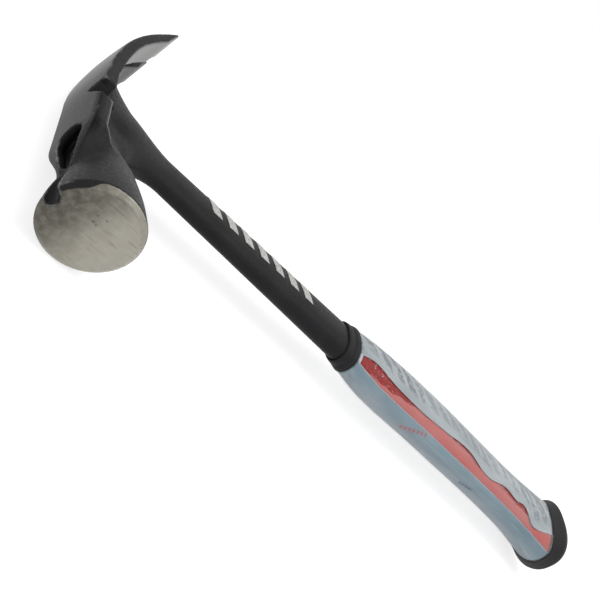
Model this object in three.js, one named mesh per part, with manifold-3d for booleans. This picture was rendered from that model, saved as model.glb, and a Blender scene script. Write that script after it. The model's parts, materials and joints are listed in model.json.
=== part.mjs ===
import * as THREE from 'three';
import { mergeVertices } from 'three/addons/utils/BufferGeometryUtils.js';
import Module from 'manifold-3d';

// Curved claw hammer: one steel forging with a moulded grip, a label and a clear film.
// While it is built, x runs to the striking face, y to the upper cheek and z up the handle,
// with z = 0 on the axis of the striking face. The finished hammer lies on its lower cheek.

const wasm = await Module();
wasm.setup();

// Gap left between pieces that touch on the real hammer, mm
const FIT_GAP = 0.3;

// Striking end: flat face with a chamfer, flared bell, throat and neck
const FACE_REACH = 61.8;
const FACE_CHAMFER = 2;
const BELL_RADIUS = 17.2;
const BELL_LENGTH = 10;
const BELL_TAPER = 1.9;
const THROAT_REACH = 36;
const THROAT_RADIUS = 11.4;
const NECK_REACH = 12;
const NECK_RADIUS = 4;
const NECK_RISE = 8.5;

// Head plate: crowned top over the cheeks, with a nose that narrows and dips to the bell
const TOP_HEIGHT = 16;
const TOP_CROWN = 1;
const CHEEK_WIDTH = 22.4;
const CHEEK_THICK = 6.5;
const PLATE_EDGE = 0.4;
const NOSE_START = 23;
const NOSE_LENGTH = 21;
const NOSE_WIDTH = 9.2;
const NOSE_DROP = 1.8;
const NOSE_DEPTH = 14;

// Claw: curves down behind the handle to a straight bevelled edge, with a V slot between the tines
const CLAW_START = -4;
const CLAW_REACH = 73;
const CLAW_DROP = 25.6;
const CLAW_WIDTH = 32.2;
const CLAW_THICK = 5;
const CLAW_BEVEL = 12;
const CLAW_EDGE = 1.2;
const SLOT_MOUTH = 3.9;
const SLOT_ROOT = 1.6;
const SLOT_LENGTH = 38;

// Side notch for pulling nails, cut through the upper edge of the plate
const NOTCH_PLACE = 0;
const NOTCH_DEPTH = 7.5;
const NOTCH_REAR = 3.6;
const NOTCH_FRONT = 7.5;

// Nail starter on top: pocket for the nail's head, groove for its shank, magnet in the floor
const POCKET_PLACE = 26.5;
const POCKET_LENGTH = 12;
const POCKET_RADIUS = 5.6;
const POCKET_DEPTH = 4.8;
const GROOVE_WIDTH = 6.2;
const GROOVE_DEPTH = 4;
const MAGNET_DIAMETER = 6;
const MAGNET_LENGTH = 3;

// Web under the head, filleted into the shank behind and in front
const WEB_THICK = 12;
const BACK_FILLET = 36;
const BACK_SWEEP = 63;
const FRONT_FILLET = 22;

// Shank, from the foot of the web down to the grip
const SHANK_START = 25;
const SHANK_OFFSET = 0.4;
const SHANK_DEPTH = 17.1;
const SHANK_THICK = 8.8;
const SHANK_END_OFFSET = -0.6;
const SHANK_END_DEPTH = 20.9;
const SHANK_END_THICK = 12.3;

// Tang inside the grip
const TANG_DEPTH = 14;
const TANG_THICK = 6;
const TANG_CLEARANCE = 2;

// Collar above the grip, with one groove round it
const COLLAR_LENGTH = 7;
const COLLAR_WALL = 0.6;
const COLLAR_GROOVE_WIDTH = 2;
const COLLAR_GROOVE_DEPTH = 0.5;

// Grip: its start below the face axis, its length, and sections at shares of that length
const GRIP_START = 138;
const GRIP_LENGTH = 159;
const SHOULDER_SHARE = 0.08;
const SHOULDER_DEPTH = 27.2;
const SHOULDER_THICK = 16.8;
const BELLY_SHARE = 0.36;
const BELLY_OFFSET = -1.7;
const BELLY_DEPTH = 30.8;
const BELLY_THICK = 18;
const WAIST_SHARE = 0.86;
const WAIST_DEPTH = 31.4;
const WAIST_THICK = 19.2;
const FLARE_OFFSET = 1.4;
const FLARE_DEPTH = 36.8;
const FLARE_THICK = 22.4;
const CORE_WALL = 2.2;

// Butt cap: widest part way down, rounded in to a flat end, with a spigot in the bore of the grip
const CAP_LENGTH = 14.3;
const CAP_SHARE = 0.5;
const CAP_OFFSET = 0.3;
const CAP_DEPTH = 40.2;
const CAP_THICK = 30;
const CAP_INSET = 8.1;
const SPIGOT_LENGTH = 6;

// Label round the grip, with a window on the upper front quarter, and the clear film over it. The
// window's back edge runs through shares of the grip's length and distances out from the axis.
const SHEET_THICK = 0.3;
const WINDOW_MARGIN = 1.5;
const WINDOW_RISE = 4.8;
const WINDOW_EDGE = [
  [0, 6.5], [0.05, 5.6], [0.13, 9.2], [0.25, 10.6], [0.4, 8.6], [0.53, 6.7], [0.6, 9.5], [0.64, 9.8],
  [0.74, 6.8], [0.79, 8.5], [0.84, 8], [0.885, 13.5], [0.94, 14], [1, 12.6],
];

// Fineness and squareness of the round surfaces
const HANDLE_SIDES = 36;
const TURNED_SIDES = 48;
const ARC_SEGMENTS = 12;
const LONG_STEPS = 20;
const GRIP_STEPS = 13;
const SHORT_STEPS = 7;
const SQUARENESS = 2.4;
const MERGE_REACH = 1e-4;

// Places down the handle that follow from the sizes above
const collarStart = GRIP_START - COLLAR_LENGTH;
const gripEnd = GRIP_START + GRIP_LENGTH;
const tangEnd = gripEnd - SPIGOT_LENGTH - TANG_CLEARANCE;
const capTop = gripEnd + FIT_GAP;
const capWidest = gripEnd + CAP_SHARE * CAP_LENGTH;

const { lerp, smoothstep, degToRad } = THREE.MathUtils;
const half = (size) => size / 2;
const steps = (from, to, count) => Array.from({ length: count + 1 }, (_, i) => lerp(from, to, i / count));

// Solid through closed rings of equal point count, capped at both ends unless it closes on itself
function loft(rings, closed = false) {
  const count = rings[0].length;
  const geometry = new THREE.BufferGeometry().setFromPoints(rings.flat());
  const faces = [];
  const spans = closed ? rings.length : rings.length - 1;
  for (let r = 0; r < spans; r += 1) {
    const next = (r + 1) % rings.length;
    for (let i = 0; i < count; i += 1) {
      const j = (i + 1) % count;
      faces.push(r * count + i, r * count + j, next * count + i);
      faces.push(r * count + j, next * count + j, next * count + i);
    }
  }
  const top = (rings.length - 1) * count;
  for (let i = 1; i + 1 < count && !closed; i += 1) {
    faces.push(0, i + 1, i);
    faces.push(top, top + i, top + i + 1);
  }
  geometry.setIndex(faces);
  return geometry;
}

// Tube between an outer and an inner stack of rings
const sleeve = (outer, inner) => loft([...outer, ...inner.toReversed()], true);

// Rounded section across the handle, grown by an even amount all round
function section({ down, offset, depth, thick }, grow = 0) {
  const rounded = (value) => Math.sign(value) * Math.abs(value) ** (2 / SQUARENESS);
  return Array.from({ length: HANDLE_SIDES }, (_, i) => {
    const angle = 2 * Math.PI * i / HANDLE_SIDES;
    const x = offset + (half(depth) + grow) * rounded(Math.cos(angle));
    const y = (half(thick) + grow) * rounded(Math.sin(angle));
    return new THREE.Vector3(x, y, -down);
  });
}

// Smooth run of sections through named stations, read at any distance below the face axis
function run(stations) {
  const places = stations.map((station) => station.down);
  const sizes = stations.flatMap((station) => [station.offset, station.depth, station.thick]);
  const curve = new THREE.CubicInterpolant(places, sizes, 3);
  return (down) => {
    const [offset, depth, thick] = curve.evaluate(down);
    return { down, offset, depth, thick };
  };
}

// Joining and cutting of closed geometries
function toSolid(geometry) {
  const bare = geometry.clone();
  bare.deleteAttribute('normal');
  bare.deleteAttribute('uv');
  const merged = mergeVertices(bare, MERGE_REACH);
  const corners = Array.from(merged.index.array);
  const faces = [];
  for (let at = 0; at < corners.length; at += 3) {
    const face = corners.slice(at, at + 3);
    if (new Set(face).size === 3) faces.push(...face);
  }
  return new wasm.Manifold(new wasm.Mesh({
    numProp: 3,
    vertProperties: new Float32Array(merged.attributes.position.array),
    triVerts: new Uint32Array(faces),
  }));
}

function toGeometry(solid) {
  const mesh = solid.getMesh();
  const geometry = new THREE.BufferGeometry();
  geometry.setAttribute('position', new THREE.BufferAttribute(new Float32Array(mesh.vertProperties), 3));
  geometry.setIndex(new THREE.BufferAttribute(new Uint32Array(mesh.triVerts), 1));
  return geometry;
}

// Flat outline raised along z from a floor
function raised(shape, floor, height) {
  const options = { depth: height, bevelEnabled: false, curveSegments: ARC_SEGMENTS };
  return new THREE.ExtrudeGeometry(shape, options).translate(0, 0, floor);
}

// Bell, throat and neck: round sections along x, whose middles rise from the face axis to the cheeks
function bellGeometry() {
  const rim = FACE_REACH - FACE_CHAMFER;
  const flare = new THREE.SplineCurve([
    new THREE.Vector2(NECK_REACH, NECK_RADIUS),
    new THREE.Vector2(THROAT_REACH, THROAT_RADIUS),
    new THREE.Vector2(rim - BELL_LENGTH, BELL_RADIUS - BELL_TAPER),
    new THREE.Vector2(rim, BELL_RADIUS),
  ]);
  const face = new THREE.Vector2(FACE_REACH, BELL_RADIUS - FACE_CHAMFER);
  const angles = steps(0, 2 * Math.PI, TURNED_SIDES).slice(1);
  return loft([...flare.getPoints(LONG_STEPS), face].map(({ x, y: radius }) => {
    const rise = NECK_RISE * (1 - smoothstep(x, NECK_REACH, THROAT_REACH));
    const point = (angle) => new THREE.Vector3(x, radius * Math.cos(angle), rise + radius * Math.sin(angle));
    return angles.map(point);
  }));
}

// One ring of the plate: crowned top, broken edges and a flat underside
function plateRing({ x, z, lean, width, thick }) {
  const edge = Math.min(PLATE_EDGE, thick / 4);
  const side = half(width);
  const fall = TOP_CROWN * Math.min(1, thick / CHEEK_THICK);
  const crown = (y) => -fall * (y / side) ** 2;
  const shoulder = crown(side) - edge;
  const outline = [
    [edge - side, -thick],
    [side - edge, -thick],
    [side, edge - thick],
    [side, shoulder],
    ...steps(side - edge, edge - side, SHORT_STEPS).map((y) => [y, crown(y)]),
    [-side, shoulder],
    [-side, edge - thick],
  ];
  return outline.map(([y, n]) => new THREE.Vector3(x - n * Math.sin(lean), y, z + n * Math.cos(lean)));
}

// Head plate and claw: one arc up from the claw's edge, then level over the cheeks to the nose
function plateGeometry() {
  const reach = CLAW_START + CLAW_REACH;
  const radius = (reach ** 2 + CLAW_DROP ** 2) / (2 * CLAW_DROP);
  const length = radius * Math.asin(reach / radius);
  const claw = steps(length, 0, LONG_STEPS).map((along) => {
    const lean = along / radius;
    const bevel = Math.min(1, (length - along) / CLAW_BEVEL);
    const body = lerp(CHEEK_THICK, CLAW_THICK, Math.min(1, 2 * along / length));
    return {
      x: CLAW_START - radius * Math.sin(lean),
      z: TOP_HEIGHT - radius * (1 - Math.cos(lean)),
      lean,
      width: lerp(CHEEK_WIDTH, CLAW_WIDTH, along / length),
      thick: lerp(CLAW_EDGE, body, bevel),
    };
  });
  const nose = steps(0, 1, SHORT_STEPS).map((share) => ({
    x: NOSE_START + share * NOSE_LENGTH,
    z: TOP_HEIGHT - NOSE_DROP * share ** 2,
    lean: 0,
    width: lerp(CHEEK_WIDTH, NOSE_WIDTH, smoothstep(share, 0, 1)),
    thick: CHEEK_THICK + NOSE_DEPTH * share,
  }));
  return loft([...claw, ...nose].map(plateRing));
}

// Straight taper of the shank, and the tang below it
const shankAt = (down) => {
  const share = (down - SHANK_START) / (GRIP_START - SHANK_START);
  return {
    down,
    offset: lerp(SHANK_OFFSET, SHANK_END_OFFSET, share),
    depth: lerp(SHANK_DEPTH, SHANK_END_DEPTH, share),
    thick: lerp(SHANK_THICK, SHANK_END_THICK, share),
  };
};
const tangAt = (down) => ({ down, offset: SHANK_END_OFFSET, depth: TANG_DEPTH, thick: TANG_THICK });

// Web: sections whose back follows one arc out to the claw, and whose front follows one to the neck
// and then runs up into the throat
function webSections() {
  const foot = shankAt(SHANK_START);
  const back = foot.offset - half(foot.depth);
  const front = foot.offset + half(foot.depth);
  const seat = TOP_HEIGHT - half(CHEEK_THICK);
  const frontAt = (height) => {
    const rise = Math.min(Math.max(height + NECK_RADIUS + FRONT_FILLET, 0), FRONT_FILLET);
    const fillet = front + FRONT_FILLET - Math.sqrt(FRONT_FILLET ** 2 - rise ** 2);
    return lerp(fillet, THROAT_REACH, smoothstep(height, -NECK_RADIUS, seat));
  };
  const sweep = degToRad(BACK_SWEEP);
  const sections = steps(0, sweep, LONG_STEPS).map((angle) => {
    const height = BACK_FILLET * Math.sin(angle) - SHANK_START;
    const rear = back - BACK_FILLET * (1 - Math.cos(angle));
    const fore = frontAt(height);
    const thick = lerp(foot.thick, WEB_THICK, smoothstep(angle, 0, half(sweep)));
    return { down: -height, offset: half(rear + fore), depth: fore - rear, thick };
  });
  return [...sections, { ...sections.at(-1), down: -seat }];
}

function shankGeometry() {
  const tang = [tangAt(tangEnd), tangAt(GRIP_START)];
  return loft([...tang, shankAt(GRIP_START), ...webSections()].map((station) => section(station)));
}

// V slot between the tines, narrowing from the claw's edge towards the head
function slotGeometry() {
  const mouth = CLAW_REACH + CLAW_BEVEL;
  const root = CLAW_REACH - SLOT_LENGTH;
  const spread = half(lerp(SLOT_ROOT, SLOT_MOUTH, 1 + CLAW_BEVEL / SLOT_LENGTH));
  const shape = new THREE.Shape();
  shape.moveTo(-mouth, -spread);
  shape.lineTo(-root, -half(SLOT_ROOT));
  shape.absarc(-root, 0, half(SLOT_ROOT), -half(Math.PI), half(Math.PI), false);
  shape.lineTo(-mouth, spread);
  return raised(shape, -2 * CLAW_DROP, 2 * CLAW_DROP + TOP_HEIGHT);
}

// V notch in the upper edge of the plate, its sides carried on past the edge
function notchGeometry() {
  const edge = half(CHEEK_WIDTH);
  const shape = new THREE.Shape();
  shape.moveTo(NOTCH_PLACE, edge - NOTCH_DEPTH);
  shape.lineTo(NOTCH_PLACE + 2 * NOTCH_FRONT, edge + NOTCH_DEPTH);
  shape.lineTo(NOTCH_PLACE - 2 * NOTCH_REAR, edge + NOTCH_DEPTH);
  return raised(shape, TOP_HEIGHT - 1.5 * CHEEK_THICK, 2 * CHEEK_THICK);
}

// Pocket for the nail's head: round at the back, drawn in to the groove at the front
function pocketGeometry() {
  const lean = Math.acos((POCKET_RADIUS - half(GROOVE_WIDTH)) / POCKET_LENGTH);
  const shape = new THREE.Shape();
  shape.absarc(POCKET_PLACE, 0, POCKET_RADIUS, lean, 2 * Math.PI - lean, false);
  shape.absarc(POCKET_PLACE + POCKET_LENGTH, 0, half(GROOVE_WIDTH), -lean, lean, false);
  return raised(shape, TOP_HEIGHT - POCKET_DEPTH, 2 * POCKET_DEPTH);
}

// Round-bottomed groove for the nail's shank, from the pocket out through the face
function grooveGeometry() {
  const radius = half(GROOVE_WIDTH);
  const floor = BELL_RADIUS - GROOVE_DEPTH;
  const shape = new THREE.Shape();
  shape.absarc(0, floor + radius, radius, Math.PI, 2 * Math.PI, false);
  shape.lineTo(radius, floor + 2 * GROOVE_DEPTH);
  shape.lineTo(-radius, floor + 2 * GROOVE_DEPTH);
  const geometry = raised(shape, POCKET_PLACE + POCKET_RADIUS, FACE_REACH - POCKET_PLACE);
  return geometry.rotateX(half(Math.PI)).rotateZ(half(Math.PI));
}

// Round plug set flush in the pocket's floor
function plugGeometry(diameter, length) {
  const geometry = new THREE.CylinderGeometry(half(diameter), half(diameter), length, TURNED_SIDES);
  geometry.rotateX(half(Math.PI));
  return geometry.translate(POCKET_PLACE, 0, TOP_HEIGHT - POCKET_DEPTH - half(length));
}

function forgingGeometry() {
  const solid = [bellGeometry(), plateGeometry()]
    .reduce((body, geometry) => body.add(toSolid(geometry)), toSolid(shankGeometry()));
  const bore = plugGeometry(MAGNET_DIAMETER + 2 * FIT_GAP, MAGNET_LENGTH + FIT_GAP);
  const cuts = [slotGeometry(), notchGeometry(), pocketGeometry(), grooveGeometry(), bore];
  return toGeometry(cuts.reduce((body, geometry) => body.subtract(toSolid(geometry)), solid));
}

// Grip layers, all read from one run of sections that starts at the collar's bore
const mouth = shankAt(GRIP_START);
const mouthWall = FIT_GAP + COLLAR_WALL;
const gripRun = run([
  { share: 0, offset: mouth.offset, depth: mouth.depth + 2 * mouthWall, thick: mouth.thick + 2 * mouthWall },
  { share: SHOULDER_SHARE, offset: 0, depth: SHOULDER_DEPTH, thick: SHOULDER_THICK },
  { share: BELLY_SHARE, offset: BELLY_OFFSET, depth: BELLY_DEPTH, thick: BELLY_THICK },
  { share: WAIST_SHARE, offset: 0, depth: WAIST_DEPTH, thick: WAIST_THICK },
  { share: 1, offset: FLARE_OFFSET, depth: FLARE_DEPTH, thick: FLARE_THICK },
].map(({ share, ...sizes }) => ({ ...sizes, down: GRIP_START + share * GRIP_LENGTH })));
const coreGrow = FIT_GAP + CORE_WALL;
const labelGrow = FIT_GAP;
const filmGrow = labelGrow + SHEET_THICK + FIT_GAP;
const outside = filmGrow + SHEET_THICK;

// Collar round the end of the shank, with its groove, swelling to lie flush with the film
function collarGeometry() {
  const groove = collarStart + half(COLLAR_LENGTH);
  const edges = [
    { down: GRIP_START - FIT_GAP, sink: 0 },
    { down: groove + half(COLLAR_GROOVE_WIDTH), sink: 0 },
    { down: groove, sink: COLLAR_GROOVE_DEPTH },
    { down: groove - half(COLLAR_GROOVE_WIDTH), sink: 0 },
    { down: collarStart, sink: 0 },
  ];
  const outer = edges.map(({ down, sink }) => {
    const swell = outside * (down - collarStart) / COLLAR_LENGTH;
    return section(shankAt(down), mouthWall + swell - sink);
  });
  return sleeve(outer, edges.map(({ down }) => section(shankAt(down), FIT_GAP)));
}

// Black inner moulding on the tang
function coreGeometry() {
  const ends = [gripEnd - SPIGOT_LENGTH - FIT_GAP, GRIP_START + FIT_GAP].map(tangAt);
  const outer = ends.map((station) => section(station, coreGrow));
  return sleeve(outer, ends.map((station) => section(station, FIT_GAP)));
}

// Red grip over the inner moulding
function gripGeometry() {
  const downs = steps(gripEnd, GRIP_START, GRIP_STEPS);
  const outer = downs.map((down) => section(gripRun(down)));
  return sleeve(outer, downs.map((down) => section(tangAt(down), coreGrow + FIT_GAP)));
}

// Butt cap: rounded end with a flat, flank up to the film's edge, and a spigot
function capGeometry() {
  const seam = gripRun(gripEnd);
  const widest = { down: capWidest, offset: CAP_OFFSET, depth: CAP_DEPTH, thick: CAP_THICK };
  const capRun = run([
    { ...seam, down: capTop, depth: seam.depth + 2 * outside, thick: seam.thick + 2 * outside },
    widest,
  ]);
  const round = steps(half(Math.PI), 0, SHORT_STEPS).map((angle) => {
    const down = lerp(capWidest, gripEnd + CAP_LENGTH, Math.sin(angle));
    return section({ ...widest, down }, CAP_INSET * (Math.cos(angle) - 1));
  });
  const flank = steps(capWidest, capTop, 2).slice(1).map((down) => section(capRun(down)));
  const spigot = [capTop, gripEnd - SPIGOT_LENGTH].map((down) => section(tangAt(down), coreGrow));
  return loft([...round, ...flank, ...spigot]);
}

// Thin sleeve that follows the grip
function wrapGeometry(grow) {
  const downs = steps(gripEnd, GRIP_START + FIT_GAP, GRIP_STEPS).map(gripRun);
  const outer = downs.map((station) => section(station, grow + SHEET_THICK));
  return sleeve(outer, downs.map((station) => section(station, grow)));
}

// Window in the label: straight front edge, wandering back edge, open at the cap
function windowGeometry() {
  const top = GRIP_START + WINDOW_MARGIN;
  const bottom = gripEnd + WINDOW_MARGIN;
  const front = half(CAP_DEPTH);
  const edge = WINDOW_EDGE.map(([share, out]) => new THREE.Vector2(out, -lerp(top, bottom, share)));
  const shape = new THREE.Shape([
    ...new THREE.SplineCurve(edge).getPoints(2 * LONG_STEPS),
    new THREE.Vector2(front, -bottom),
    new THREE.Vector2(front, -top),
  ]);
  return raised(shape, 0, FLARE_THICK).rotateX(half(Math.PI)).translate(0, FLARE_THICK + WINDOW_RISE, 0);
}

function labelGeometry() {
  return toGeometry(toSolid(wrapGeometry(labelGrow)).subtract(toSolid(windowGeometry())));
}

// Named pieces with their finishes
function piece(name, geometry, color, roughness, metalness = 0, opacity = 1) {
  const finish = { color, roughness, metalness, opacity, transparent: opacity < 1 };
  const mesh = new THREE.Mesh(geometry, new THREE.MeshStandardMaterial(finish));
  mesh.name = name;
  return mesh;
}

const hammer = new THREE.Group();
hammer.add(
  piece('forged_body', forgingGeometry(), 0x2c2d2f, 0.45, 0.5),
  piece('nail_magnet', plugGeometry(MAGNET_DIAMETER, MAGNET_LENGTH), 0x8f9296, 0.35, 1),
  piece('grip_collar', collarGeometry(), 0x202124, 0.6),
  piece('grip_core', coreGeometry(), 0x1b1c1e, 0.7),
  piece('grip_sleeve', gripGeometry(), 0xb5302c, 0.6),
  piece('butt_cap', capGeometry(), 0x232527, 0.6),
  piece('label_wrap', labelGeometry(), 0xa9b7c0, 0.45),
  piece('clear_film', wrapGeometry(filmGrow), 0xe6ecee, 0.2, 0, 0.3),
);

// Lay the hammer on its lower cheek: handle along x, face to +y, origin under the middle of its box
const lying = new THREE.Matrix4().makeBasis(
  new THREE.Vector3(0, 1, 0),
  new THREE.Vector3(0, 0, 1),
  new THREE.Vector3(1, 0, 0),
);
hammer.setRotationFromMatrix(lying);
hammer.updateMatrixWorld(true);
const box = new THREE.Box3().setFromObject(hammer, true);
const middle = box.getCenter(new THREE.Vector3());
hammer.position.set(-middle.x, -middle.y, -box.min.z);

const assembly = new THREE.Group();
assembly.add(hammer);
export default assembly;
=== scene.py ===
import json
import math

import bpy
import numpy as np
from mathutils import Matrix, Vector, noise

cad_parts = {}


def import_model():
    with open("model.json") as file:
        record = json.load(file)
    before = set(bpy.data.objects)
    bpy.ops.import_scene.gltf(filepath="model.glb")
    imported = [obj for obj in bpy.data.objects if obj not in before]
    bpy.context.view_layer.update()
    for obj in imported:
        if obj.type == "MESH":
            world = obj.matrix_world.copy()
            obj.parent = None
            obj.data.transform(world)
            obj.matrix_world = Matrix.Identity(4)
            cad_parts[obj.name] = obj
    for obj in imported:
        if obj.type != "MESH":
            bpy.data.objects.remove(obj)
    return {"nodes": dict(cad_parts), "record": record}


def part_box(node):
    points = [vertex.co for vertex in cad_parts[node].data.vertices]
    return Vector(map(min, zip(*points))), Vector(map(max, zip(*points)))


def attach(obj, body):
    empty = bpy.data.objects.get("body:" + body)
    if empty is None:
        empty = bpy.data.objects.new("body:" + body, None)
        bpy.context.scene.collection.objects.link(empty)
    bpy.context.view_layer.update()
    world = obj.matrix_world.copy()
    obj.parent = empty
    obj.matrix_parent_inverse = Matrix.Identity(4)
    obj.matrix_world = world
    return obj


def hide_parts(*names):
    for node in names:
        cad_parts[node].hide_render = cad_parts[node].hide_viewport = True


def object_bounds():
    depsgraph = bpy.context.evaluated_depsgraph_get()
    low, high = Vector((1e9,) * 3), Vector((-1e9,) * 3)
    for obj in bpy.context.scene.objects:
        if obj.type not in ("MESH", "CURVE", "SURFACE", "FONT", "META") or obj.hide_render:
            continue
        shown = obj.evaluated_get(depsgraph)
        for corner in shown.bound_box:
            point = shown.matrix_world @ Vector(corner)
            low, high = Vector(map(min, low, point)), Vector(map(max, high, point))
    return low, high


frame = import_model()
cad_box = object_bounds()

MM = 0.001

# Places read from the frame: middle of the striking face, and the handle's axis behind it
mounts = {mount["name"]: mount for mount in frame["record"]["mounts"]}
FACE = Vector(mounts["strike_face"]["pos_m"])
FACE_REACH = 61.8 * MM
AXIS_Y = FACE.y - FACE_REACH

# Camera fitted to the photograph: its place up the handle, out to the face and to the upper side
CAMERA_PLACE = Vector((FACE.x, AXIS_Y, FACE.z)) + Vector((96.96, 296.91, 144.71)) * MM
CAMERA_RIGHT = Vector((-0.61858, 0.03979, 0.78472))
CAMERA_UP = Vector((0.58983, -0.63629, 0.49722))
CAMERA_LENS = 57.0
CAMERA_SENSOR = 36.0
CAMERA_NEAR = 10 * MM

# Forging: size of the even mesh, and the rounds and steps of its smoothing
VOXEL = 0.5 * MM
WELD = 0.001 * MM
EVEN_ROUNDS = 6
FILL_ROUNDS = 300
WEB_ROUNDS = 40
HOLLOW_ROUNDS = 160
STEPS_IN_AND_OUT = (0.5, -0.52)
FILL_STEP = 0.7
FILL_LEAST = 0.002 * MM
NORMAL_ROUNDS = 20

# Head, with sizes of the CAD: plate, claw, bell and the nail's groove
TOP_HEIGHT = 16 * MM
PLATE_THICK = 6.5 * MM
PLATE_WIDTH = 22.4 * MM
NOSE_START = 23 * MM
NOSE_END = 44 * MM
NOSE_WIDTH = 9.2 * MM
CLAW_START = -4 * MM
CLAW_LENGTH = 69 * MM
CLAW_DROP = 25.6 * MM
CLAW_RADIUS = (CLAW_LENGTH ** 2 + CLAW_DROP ** 2) / (2 * CLAW_DROP)
BELL_RADIUS = 17.2 * MM
GROOVE_WIDTH = 6.2 * MM
GROOVE_DEPTH = 4 * MM
GROOVE_FLOOR = BELL_RADIUS - GROOVE_DEPTH

# Neck: soft limits of its rounded creases, and the half width kept clear along the pocket and the groove
NECK_REAR = (8 * MM, 16 * MM)
NECK_FRONT = (48 * MM, 54 * MM)
NECK_DEPTH = (2 * MM, 4 * MM)
CLEAR_OUT = (34 * MM, 40 * MM)
CLEAR_HALF = (5.8 * MM, GROOVE_WIDTH / 2 + 0.5 * MM)
CLEAR_SOFT = 1 * MM
CLEAR_UP = (4 * MM, 6 * MM)

# Web: soft limits of its smoothing, and the dimple in each side, which also gets painted shade
UNDER_PLATE = (PLATE_THICK, PLATE_THICK + 3 * MM)
WEB_REAR = (-60 * MM, -40 * MM)
WEB_FRONT = (30 * MM, 44 * MM)
DIMPLE_OUT = 8 * MM
DIMPLE_UP = 1.5 * MM
DIMPLE_RADIUS = 7 * MM
DIMPLE_DEPTH = 0.9 * MM

# Painted grey sheen on the plate's top: its facing, its depth, its inset from the upper edge and its end
# on the nose
TOP_FACING = (0.45, 0.8)
TOP_DEPTH = (1.6 * MM, 2.4 * MM)
TOP_INSET = (1.6 * MM, 2.8 * MM)
TOP_INSET_START = CLAW_START + 2 * MM
TOP_END = NOSE_END - 2 * MM
TOP_END_SHORTER = 14 * MM
TOP_END_SIDE = (-2 * MM, 2 * MM)
TOP_END_FADE = 8 * MM

# Worn inside of the claw: its facing, its depth, its reach, and its share on the lower tine
INSIDE_FACING = (0.3, 0.7)
INSIDE_DEPTH = (6.5 * MM, 7.5 * MM)
INSIDE_OUT = (-48 * MM, -24 * MM)
LOWER_TINE = 0.4
TINE_SIDE = (-0.5 * MM, 0.5 * MM)

# Bulge that counts as a full edge, and the painted highlight along the ridge between the plate and the
# neck
EDGE_BULGE = 0.1 * MM
RIDGE_EDGE = (0.14, 0.4)
RIDGE_DEPTH = (4 * MM, 5.5 * MM)
RIDGE_SIDE = (3 * MM, 5 * MM)
RIDGE_REAR = (0, 3 * MM)
RIDGE_FRONT = (44 * MM, 50 * MM)
RIDGE_UP = (-16 * MM, -12 * MM)

# Coated groove, painted dark reflection along the plate's upper edge, and depth of the hollows that get
# painted shade
GROOVE_SIDE = (GROOVE_WIDTH / 2 - 0.2 * MM, GROOVE_WIDTH / 2 + 0.2 * MM)
GROOVE_REAR = (40 * MM, 46 * MM)
GROOVE_RISE = (-0.5 * MM, -0.1 * MM)
GROOVE_FACING = (0.9, 0.97)
# Painted dark reflection along the plate's upper edge
REFLECTION_INSET = (1.8 * MM, 2.8 * MM)
REFLECTION_DEPTH = (2.5 * MM, 4.5 * MM)
REFLECTION_REAR = (-4 * MM, -2 * MM)
REFLECTION_FRONT = (26 * MM, 34 * MM)
HOLLOW_DEPTH = (0.02 * MM, 0.9 * MM)

# Row of plain slanted bars on the shank
BAR_COUNT = 7
BAR_START = 46 * MM
BAR_PITCH = 9.1 * MM
BAR_LENGTH = 5.2 * MM
BAR_MIDDLE = -2.0 * MM
BAR_HEIGHT = 8.6 * MM
BAR_SLANT = 0.35
BAR_RAISE = 0.25 * MM
BAR_RAGGED = 0.5 * MM
BAR_SOFT_SIDE = 0.3 * MM
BAR_SOFT_END = 0.25 * MM

# Grip layers, with gaps and sheets of the CAD, and how far the grip stops short of the label's top
SQUARENESS = 2.4
FIT_GAP = 0.3 * MM
SHEET = 0.3 * MM
LABEL_GROW = FIT_GAP + SHEET
FILM_GROW = LABEL_GROW + FIT_GAP + SHEET
GRIP_INSET = 4 * FIT_GAP
TUBE_ROWS = 180
ROUND_COLUMNS = 120

# Label's window: its margin, its straight front edge, and its wavy back edge after the photograph, in
# shares of the grip's length and millimetres out from the axis
WINDOW_MARGIN = 1.5 * MM
WINDOW_RISE = 4.8 * MM
WINDOW_EDGE = (
    (0, 6.5), (0.05, 5.4), (0.13, 8), (0.25, 8.8), (0.4, 7.4), (0.53, 6), (0.6, 9), (0.64, 9.4),
    (0.74, 6.8), (0.79, 8.5), (0.84, 8), (0.885, 13.5), (0.94, 14), (1, 12.6),
)
LABEL_COLUMNS = 150
WINDOW_COLUMNS = 26

# Film: thickness, wrinkles, and how far it clings inside the window's back edge, in shares of the
# grip's length and millimetres
FILM_SHEET = 0.1 * MM
FILM_COLUMNS = 200
WRINKLE_LENGTH = 14 * MM
WRINKLE_WIDTH = 3 * MM
WRINKLE_RISE = 0.08 * MM
CLING_WIDTH = (
    (0, 9), (0.09, 8), (0.13, 6), (0.2, 3), (0.27, 0.6), (0.4, 0.6), (0.5, 2.6), (0.56, 2), (0.61, 0),
    (0.68, 0.6), (0.74, 3), (0.79, 2.6), (0.84, 4), (0.88, 1), (0.92, 0), (1, 0),
)
CLING_NONE = -9.0
CLING_OVERLAP = 1.0
CLING_RAGGED = 5.0
CLING_SOFT = (-0.35, 0.35)
CLING_STRETCH = (0.7, 1, 1)

# Collar: its rounded ends, the groove between its bands, and the shank's size in its bore
COLLAR_ROWS = 40
COLLAR_LIP = 0.5 * MM
COLLAR_SINK = 0.5 * MM
COLLAR_GROOVE = 0.8 * MM
SHANK_DEPTH = 20.9 * MM
SHANK_THICK = 12.3 * MM

# Cap: its rows, how far its rim lies towards the butt at the sides and at the back, and how far up the
# grip follows the rim
CAP_ROWS = 60
RIM_SIDE = -4 * MM
RIM_BACK = 8 * MM
RIM_REACH = 25 * MM
RIM_FOOT = 3 * MM

# Reading sections of a CAD node: digits of a place, and how far its points may lie from it
PLACE_DIGITS = 6
PLACE_NEAR = 0.002 * MM
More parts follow.
